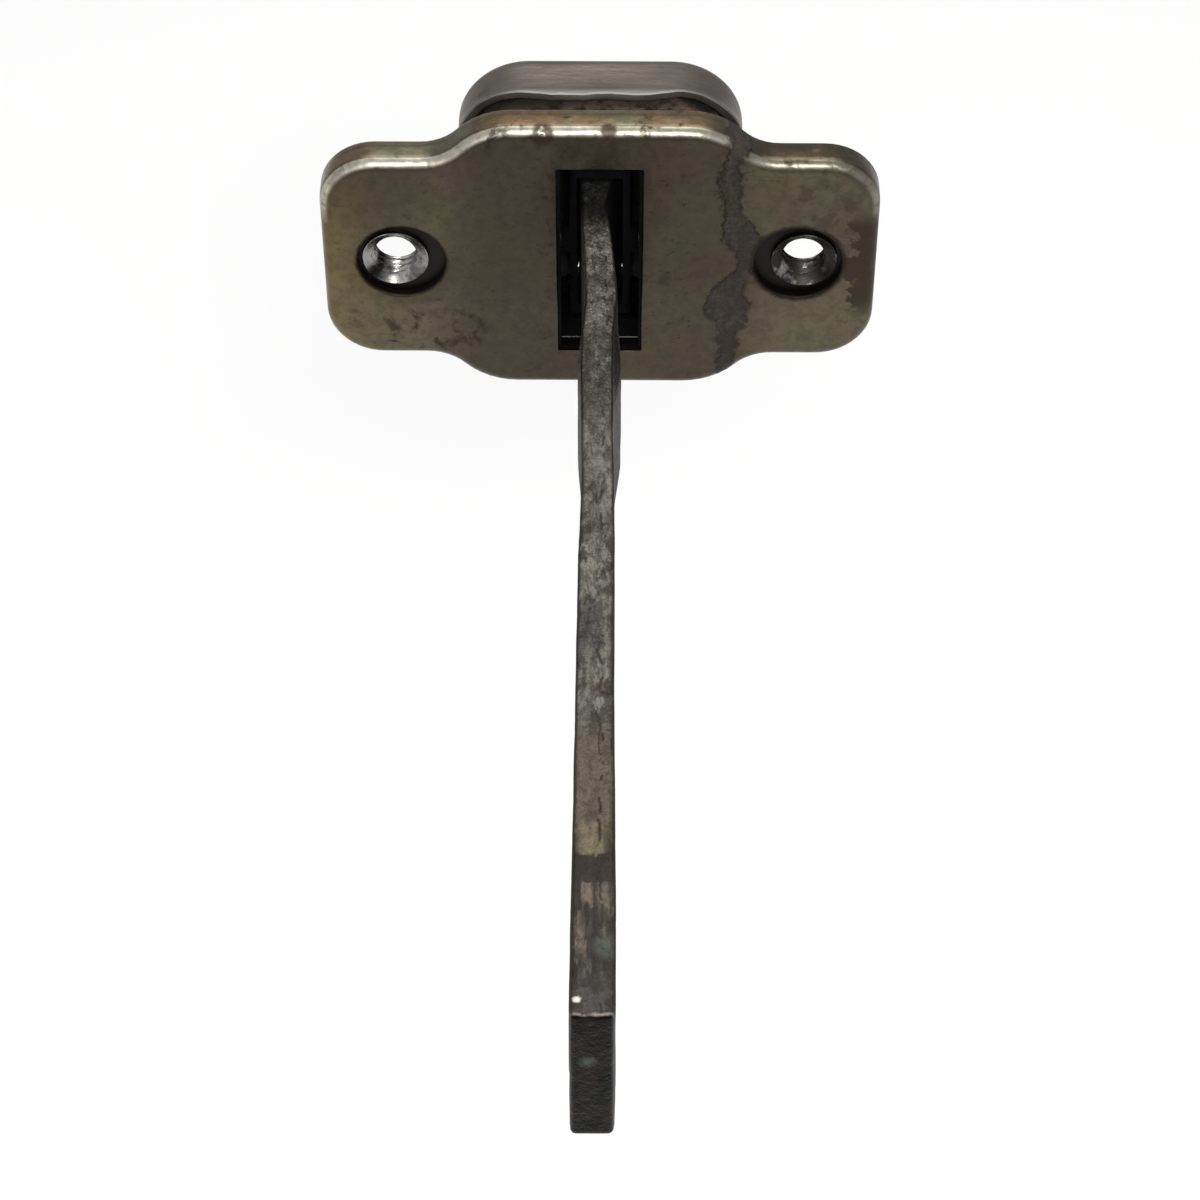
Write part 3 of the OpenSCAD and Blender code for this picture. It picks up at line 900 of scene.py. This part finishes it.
def flange_tone(g, colour):
    """Adds what is only on the flange: its pale rim, a painted highlight in patches along the upper bend, a
    dirty seam and soil on the right.
    """
    flange = g.y.step(0.6, 2.2)
    tan, straw = (0.19, 0.125, 0.07), (0.16, 0.148, 0.094)
    band = g.mix(g.noise(12, 3, stretch=(1, 0.3, 0.3)).step(0.4, 0.62), tan, straw)
    colour = g.mix(flange * 0.9, colour, band)
    colour = g.mix(g.y.near(5.2, 0.5) * flange * 0.6, colour, (0.22, 0.18, 0.11))
    # Painted highlight: pale cream patches along the upper bend (the mask called worn), weaker towards the
    # right.
    highlight_patches = g.noise(4, 4, offset=(8, 8, 1)).step(0.32, 0.46)
    worn = g.y.inside(0.4, 1.15, 0.35) * g.z.step(6, 14) * highlight_patches
    worn = worn * (1 - 0.35 * g.x.step(-8, 12) - 0.3 * g.x.step(22, 27))
    colour = g.mix(worn, colour, (0.6, 0.56, 0.46))
    seam = (g.y + (g.noise(4, 3) - 0.5) * 0.8).near(4.2, 0.35)
    colour = g.mix(seam * 0.45, colour, (0.06, 0.04, 0.02))
    soiled = flange * g.x.step(15, 21) * g.noise(6, 5, offset=(2, 5, 5)).step(0.3, 0.45)
    return g.mix(soiled * 0.8, colour, (0.05, 0.034, 0.024))


def crust_tone(g, crumbs):
    """The crust's grey and brown crumbs, with darker blotches."""
    blotch = g.noise(3.5, 4, offset=(7, 1, 1)).step(0.45, 0.6)
    colour = g.mix(crumbs.step(0.38, 0.66), (0.056, 0.045, 0.038), (0.024, 0.018, 0.015))
    return g.mix(blotch * 0.7, colour, (0.026, 0.019, 0.015))


def hole_shade_and_dirt(g):
    """Painted shade, partly dirt: the dark ring on the rolled edge round each clearance hole, where the gap
    to the nut lies in shadow. Also the faint halo of dirt below the left one.
    """
    left = g.away(-HOLE_X, 0, 0)
    right = g.away(HOLE_X, 0, 0)
    ragged = (g.noise(1.6, 4, offset=(2, 2, 2)) - 0.5) * 2.2
    ring = (left + ragged * 0.3).step(7.7, 7.05).either((right + ragged * 0.5).step(8.2, 7.2))
    return ring, (left + ragged).step(11, 7.5) * g.z.step(6, -3) * 0.35


def dirt_share(g):
    """How much brown dirt there is: on the right ear, under the left hole, at the right edge and on top."""
    stain = g.noise(3.2, 5, 0.6, offset=(8, 3, 2), warp=0.6).step(0.5, 0.62)
    worn_edge = g.noise(4, 5, 0.66, offset=(2, 6, 1))
    ear = g.x.step(24, 33) * g.z.step(2, 9) * 0.45
    low_left = g.x.inside(-33, -20, 4) * g.z.inside(-18, -11, 2)
    side = (g.x + (worn_edge - 0.5) * 12).step(39.2, 40.2) * g.z.inside(-8, 7, 4)
    top = g.z.step(21, 24) * g.noise(5, 4, offset=(6, 6, 2)).step(0.5, 0.58)
    rare = g.noise(9, 3, offset=(5, 1, 8)).step(0.55, 0.66) * 0.5
    spots = g.away(-8.8, 0.6, 25.2).step(2.3, 1.3).either(g.away(1.4, 0.8, 25.7).step(1.7, 0.9))
    spots = spots * g.noise(1.2, 4, offset=(1, 1, 4)).step(0.3, 0.42)
    return (ear.either(low_left).either(top).either(rare) * stain).either(side).either(spots)


def zinc_plate():
    g = Graph("yellow_zinc", 0.9, 0.34, Specular_IOR_Level=0.25)
    colour = flange_tone(g, plate_tone(g))
    crust, edge = smear(g)
    crumbs = g.noise(0.9, 6, 0.7, offset=(3, 3, 3))
    colour = g.mix(crust * 0.95, colour, crust_tone(g, crumbs))
    colour = g.mix(edge * 0.75, colour, (0.022, 0.016, 0.012))
    ring, halo = hole_shade_and_dirt(g)
    # Painted shade, partly dirt: the rolled edges of the holes go nearly black.
    colour = g.mix(ring * 0.93, colour, (0.012, 0.01, 0.008))
    dirt = dirt_share(g)
    colour = g.mix((dirt * 0.85).either(halo), colour, (0.036, 0.025, 0.018))
    slot_side = abs(g.x - 3).inside(5.5, 11, 3) * abs(g.z).step(24, 16)
    flecks = g.noise(1.5, 5, 0.72, stretch=(1, 1, 1.6), offset=(1, 4, 2)).step(0.6, 0.65)
    colour = g.mix(flecks * (0.3 + 0.45 * slot_side), colour, (0.028, 0.022, 0.017))
    scratch = g.noise(1.2, 2, stretch=(0.1, 1, 4), offset=(5, 5, 5), turn=(0, -62, 0)).step(0.69, 0.74)
    colour = g.mix(scratch * 0.3, colour, (0.03, 0.024, 0.018))
    mottle = g.noise(2.2, 6, 0.7, offset=(1, 9, 3)).step(0.4, 0.62)
    colour = g.mix(mottle * 0.3, colour, (0.03, 0.025, 0.019))

    broad = g.noise(18, 2, offset=(4, 9, 9))
    waves = g.noise(6, 2, offset=(2, 2, 8))
    peel = g.noise(1.3, 4)
    g.bump(broad * 0.6 + waves * 0.22 + (peel - 0.5) * 0.05 + crust * crumbs * 0.4 - flecks * 0.02)
    rough = 0.27 + 0.12 * peel + 0.22 * crust + 0.2 * ring + 0.15 * dirt
    return g.finish(colour, rough, 0.9 - 0.5 * crust)


def cup_steel():
    g = Graph("cup_steel", 0.85, 0.42)
    tone = g.noise(9, 4, stretch=(0.6, 1.4, 1))
    colour = g.mix(tone.step(0.35, 0.68), (0.165, 0.142, 0.122), (0.115, 0.102, 0.09))
    drawn = g.noise(1.4, 3, stretch=(0.12, 1.6, 0.3), offset=(3, 1, 1))
    colour = g.mix(drawn.step(0.55, 0.75) * 0.35, colour, (0.2, 0.165, 0.13))
    rust = g.noise(3, 5, offset=(5, 8, 2)).step(0.58, 0.7)
    colour = g.mix(rust * 0.35, colour, (0.09, 0.055, 0.036))
    colour = g.mix(g.x.step(-4, 16) * 0.2, colour, (0.05, 0.042, 0.036))
    # Painted highlight: a pale line along the front edge of the cup's rim, top and bottom.
    rim = g.y.step(12.0, 10.6) * abs(g.z).step(15, 17)
    colour = g.mix(rim * 0.7, colour, (0.45, 0.43, 0.4))
    # Painted shade, partly grime: the lugs go nearly black round each nut, where they show through the gap
    # in the plate's holes.
    left, right = (g.away(side * NUT_X, LUG_BACK, 0).step(12, 9) for side in (-1, 1))
    shade_and_grime = left.either(right)
    colour = g.mix(shade_and_grime * 0.97, colour, (0.007, 0.006, 0.005))
    fine = g.noise(0.5, 4)
    g.bump((fine - 0.5) * 0.02 + (tone - 0.5) * 0.35 + drawn * 0.05)
    return g.finish(colour, 0.36 + 0.16 * tone + 0.1 * rust)


def nut_steel():
    g = Graph("nut_steel", 1.0, 0.22)
    tone = g.noise(2.2, 5)
    colour = g.mix(tone.step(0.5, 0.72), (0.28, 0.275, 0.26), (0.1, 0.093, 0.085))
    greasy = g.x.step(-5, 20)
    soot = (g.noise(3.2, 5, offset=(7, 2, 1)) + greasy * 0.12).step(0.46, 0.58)
    colour = g.mix(soot * (0.35 + 0.6 * greasy), colour, (0.022, 0.019, 0.017))
    turned = g.noise(0.3, 2, stretch=(1, 4, 1))
    g.bump(turned * 0.015 + (tone - 0.5) * 0.04)
    return g.finish(colour, 0.14 + 0.12 * tone + 0.2 * soot * greasy)


# Zones of the strap, as distances out from the face plate: grey, warm grey, then rusty brown.
WARM_FROM, RUST_FROM, RUST_FULL = 112, 131, 139


def strap_tone(g, out, warm, brown):
    """Oily grey steel: dark near the slot, warm and then rusty brown towards the outer end."""
    tone = g.noise(6, 5, stretch=(1, 0.4, 1))
    colour = g.mix(tone.step(0.35, 0.65), (0.14, 0.134, 0.112), (0.092, 0.088, 0.077))
    colour = g.mix(warm * 0.9, colour, (0.082, 0.066, 0.05))
    tan = out.inside(128, 133, 2) * g.noise(1.5, 4, offset=(1, 1, 5)).step(0.3, 0.6)
    colour = g.mix(tan * 0.6, colour, (0.15, 0.118, 0.076))
    rust = g.noise(3, 5, stretch=(1, 0.5, 1), offset=(6, 2, 0)).step(0.38, 0.62)
    rust = g.mix(rust, (0.12, 0.093, 0.066), (0.046, 0.036, 0.029))
    colour = g.mix(brown * 0.92, colour, rust)
    slate = g.noise(2, 5, offset=(3, 3, 7)).step(0.44, 0.56)
    slate = g.mix(slate, (0.05, 0.049, 0.049), (0.016, 0.013, 0.012))
    colour = g.mix(out.step(147, 152) * 0.85, colour, slate)
    ragged = out + (g.noise(1.6, 4, offset=(5, 7, 7)) - 0.5) * 5
    colour = g.mix(ragged.inside(132.5, 137, 0.7) * 0.9, colour, (0.016, 0.012, 0.01))
    dim = out.inside(31, 47, 3).either(g.x.step(0.8, 2.2) * out.inside(24, 50, 3))
    return g.mix(dim * 0.62, colour, (0.024, 0.022, 0.02))


def strap_marks(g, out, brown):
    """Dark flakes, streaks along the strap, painted shade along the rounded top edges and single stains,
    each with its share and its colour.
    Also gives the flakes alone, for the bump."""
    dark, brownish = (0.026, 0.022, 0.019), (0.03, 0.021, 0.015)
    flakes = g.noise(1.9, 6, 0.66, stretch=(1.1, 0.42, 1), offset=(3, 1, 8))
    amount = 0.4 + 0.4 * out.inside(68, 92, 8) + 0.35 * out.inside(98, 108, 4) + 0.4 * brown
    drift = (g.noise(7, 3, stretch=(0.2, 1, 0.2), offset=(2, 8, 1)) - 0.5) * 3.4
    broken = g.noise(3.5, 3, stretch=(0.1, 1, 0.1), offset=(4, 1, 2)).step(0.5, 0.56)
    line = (g.x - 0.8 - drift).near(0, 0.38) * broken
    # Painted shade: patchy dark bands along the rounded edges of the top, in place of their dark reflection.
    edges = abs(g.x + 0.1).step(2.0, 2.5) * g.noise(5, 3, stretch=(0.1, 1, 0.1)).step(0.35, 0.55)
    blue = g.away(-1.2, -91.5, STRAP_HALF_H).step(6.5, 2.5) * g.x.step(1.6, 0.4)
    spot = (g.away(1.4, -103.5, STRAP_HALF_H) + (g.noise(1, 4) - 0.5) * 1.4).step(1.9, 0.9)
    bend = (g.noise(2, 3, offset=(7, 3, 3)) - 0.5) * 2.2
    hook = (g.x - 0.8 + bend).near(0, 0.3) * out.inside(109, 115, 0.8)
    stripes = g.noise(1.5, 4, 0.6, stretch=(1, 0.16, 1), offset=(5, 5, 1)).step(0.5, 0.56)
    stripes = stripes * out.inside(137, 152, 3)
    corner = abs(out - 131.5).step(4, 2) * abs(g.x).step(1.3, 2.3) * g.noise(2, 4).step(0.35, 0.5)
    seam = (g.x - 0.2 - drift * 0.5).near(0, 0.45) * out.inside(136, 151, 2)
    green = g.away(2.1, -147.5, STRAP_HALF_H).step(2.6, 1.2)
    return [(flakes.step(0.5, 0.6) * amount, dark), (line * 0.9, (0.018, 0.014, 0.011)), (edges * 0.6, dark),
            (blue * 0.75, (0.032, 0.033, 0.038)), (spot * 0.85, brownish), (hook * 0.9, dark),
            (stripes * 0.85, (0.017, 0.013, 0.01)), (corner * 0.8, brownish),
            (seam * 0.85, (0.016, 0.012, 0.01)), (green * 0.6, (0.07, 0.085, 0.066))], flakes


def strap_faces(g, out, colour):
    """Adds painted shade on the flat side faces, with a greasy mottle and darkest beside the bosses, painted
    shade on the end face, and a painted highlight, partly scraped, along its upper edge.
    Also gives where the flat faces and the end face are."""
    # Painted shade: the flat side faces are darkened, with a greasy mottle, and go nearly black beside the
    # bosses.
    flat = g.facing("X").step(0.35, 0.8)
    side_shade_mottle = g.noise(2.5, 6, 0.65, offset=(1, 2, 9)).step(0.3, 0.7)
    side_shade_mottle = g.mix(side_shade_mottle, (0.03, 0.025, 0.021), (0.044, 0.04, 0.036))
    colour = g.mix(flat * 0.9, colour, side_shade_mottle)
    colour = g.mix(flat * out.inside(24, 46, 6) * 0.9, colour, (0.012, 0.009, 0.007))
    # Painted shade: the end face is made nearly black.
    tip = g.facing("Y").step(0.5, 0.9)
    scale = g.noise(4, 5, offset=(7, 7, 7)).step(0.4, 0.6)
    colour = g.mix(tip, colour, g.mix(scale, (0.005, 0.005, 0.005), (0.014, 0.011, 0.009)))
    # Painted highlight, partly scraped metal: a pale broken line along the upper edge of the end face.
    edge = STRAP_OUT - 0.35 + (g.noise(2.5, 3) - 0.5) * 0.7
    arris_highlight = out.near(edge, 0.3) * g.noise(1.5, 4, offset=(2, 1, 1)).step(0.38, 0.5)
    return g.mix(arris_highlight * g.z.step(11.6, 12.4) * 0.7, colour, (0.3, 0.24, 0.2)), flat, tip


def strap_steel():
    g = Graph("strap_steel", 0.8, 0.42, Specular_IOR_Level=0.2)
    out = g.y * -1
    warm = out.inside(WARM_FROM, RUST_FROM, 6)
    brown = out.step(RUST_FROM, RUST_FULL)
    colour = strap_tone(g, out, warm, brown)
    marks, flakes = strap_marks(g, out, brown)
    for share, stain in marks:
        colour = g.mix(share, colour, stain)
    pale = g.noise(1.5, 5, 0.62, stretch=(1.2, 0.7, 1), offset=(9, 3, 3)).step(0.52, 0.68)
    pale = pale * (0.2 + 0.4 * out.step(46, 36)) * out.step(WARM_FROM, 104)
    colour = g.mix(pale, colour, (0.2, 0.195, 0.175))
    fibre = g.noise(1.1, 5, 0.7, stretch=(1.6, 0.45, 1), turn=(0, 0, 25)).step(0.46, 0.58)
    colour = g.mix(fibre * (0.62 - 0.4 * warm), colour, (0.03, 0.026, 0.022))
    colour, flat, tip = strap_faces(g, out, colour)
    # Painted shadow of the face plate and housing, partly oil: the strap goes nearly black from 8 mm in
    # front of the plate inwards.
    slot_shadow_and_oil = out.step(8, 0)
    colour = g.mix(slot_shadow_and_oil * 0.85, colour, (0.008, 0.008, 0.009))

    fine = g.noise(0.45, 4, 0.6)
    glint = (g.away(-1.7, -155.9, STRAP_HALF_H) + (g.noise(0.9, 3) - 0.5) * 0.8).step(0.75, 0.2)
    colour = g.mix(glint, colour, (0.6, 0.59, 0.57))
    dim_glint = tip * (g.away(-0.4, -STRAP_OUT, 3.2) + (fine - 0.5) * 1.5).step(1.6, 0.2)
    colour = g.mix(dim_glint * 0.8, colour, (0.075, 0.085, 0.08))

    pits = g.cells(1.1, (1, 0.6, 1)).step(0.32, 0.0)
    dimples = g.noise(1.5, 4, 0.6, stretch=(1.3, 0.7, 1), offset=(1, 6, 2))
    g.bump(pits * -0.05 + flakes * 0.16 + (fine - 0.5) * 0.05 + dimples * (0.2 + 0.35 * out.step(50, 42)))
    return g.finish(colour, 0.32 + 0.22 * flakes + 0.12 * flat, (0.8 - 0.35 * brown).either(tip))


def plain_metal(name, bright, dark, rough):
    """Bare metal that drifts between two tones, under patches of oily film."""
    g = Graph(name, 0.9, rough)
    tone = g.noise(3, 5)
    fine = g.noise(0.4, 3)
    film = g.noise(1.6, 4, offset=(4, 4, 4)).step(0.5, 0.7)
    g.bump((fine - 0.5) * 0.015)
    colour = g.mix(tone.step(0.35, 0.7), bright, dark)
    return g.finish(g.mix(film * 0.5, colour, (0.03, 0.027, 0.022)), rough - 0.08 + 0.2 * tone)


def moulding(name, colour, worn, rough, shine):
    """Moulded nylon or rubber with a fine grain and worn patches."""
    g = Graph(name, 0.0, rough, Specular_IOR_Level=shine)
    tone = g.noise(4, 5)
    grain = g.noise(0.35, 3)
    g.bump((grain - 0.5) * 0.03 + tone * 0.05)
    return g.finish(g.mix(tone.step(0.4, 0.75), colour, worn), rough - 0.1 + 0.25 * tone)


def dusty_nylon():
    """Black nylon under brown dust, which is thicker towards the right."""
    g = Graph("dusty_nylon", 0.0, 0.9, Specular_IOR_Level=0.3)
    dust = g.noise(3, 6, 0.62).step(0.4, 0.58) * (0.2 + 0.8 * g.x.step(-13, -2))
    g.bump(dust * 0.12)
    return g.finish(g.mix(dust, (0.008, 0.007, 0.006), (0.075, 0.05, 0.035)))


# ---- the pieces ----

def place(piece, body, slot, node):
    """Gives a piece its material, attaches it to the empty of its body and hides the CAD node that it
    replaces.
    """
    piece.data.materials.clear()
    piece.data.materials.append(MATERIALS[slot])
    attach(piece, body)
    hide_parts(node)


def dress(piece, material):
    """Gives a CAD piece its material, and breaks its sharp edges."""
    piece.data.materials.clear()
    piece.data.materials.append(material)
    weld = piece.modifiers.new("weld", "WELD")
    weld.merge_threshold = 10 * TOUCHING
    bevel = piece.modifiers.new("edges", "BEVEL")
    bevel.width = CAD_EDGE * MM
    bevel.segments = 3
    bevel.limit_method = "ANGLE"
    bevel.angle_limit = math.radians(40)


make_camera()
make_stage()

MATERIALS = {
    "zinc_plate": zinc_plate(),
    "cup_steel": cup_steel(),
    "nut_steel": nut_steel(),
    "strap_steel": strap_steel(),
    "roller_steel": plain_metal("roller_steel", (0.04, 0.04, 0.04), (0.02, 0.018, 0.016), 0.5),
    "pin_steel": plain_metal("pin_steel", (0.07, 0.068, 0.064), (0.035, 0.032, 0.029), 0.48),
    "bronze": plain_metal("bronze", (0.3, 0.19, 0.09), (0.16, 0.1, 0.05), 0.4),
    "black_nylon": moulding("black_nylon", (0.003, 0.003, 0.004), (0.006, 0.006, 0.007), 0.85, 0.05),
    "dusty_nylon": dusty_nylon(),
    "black_rubber": moulding("black_rubber", (0.008, 0.008, 0.008), (0.016, 0.015, 0.014), 0.75, 0.2),
}

place(make_face_plate(), "housing", "zinc_plate", "face_plate")
place(make_housing_cup(), "housing", "cup_steel", "housing_cup")
place(make_nut(-1, "clinch_nut_left"), "housing", "nut_steel", "nut_left")
place(make_nut(1, "clinch_nut_right"), "housing", "nut_steel", "nut_right")
place(make_strap(), "strap", "strap_steel", "check_strap")

for side, sign in (("left", -1), ("right", 1)):
    node = "rubber_spring_" + side
    spring = make_rubber_spring(node, "moulded_spring_" + side)
    place(spring, "housing", "black_rubber", node)
    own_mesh(spring)

slots = {entry["node"]: entry["material_slot"] for entry in frame["record"]["subparts"]}
for node, piece in frame["nodes"].items():
    if not piece.hide_render:
        dress(piece, MATERIALS["dusty_nylon" if node == "spacer_upper" else slots[node]])
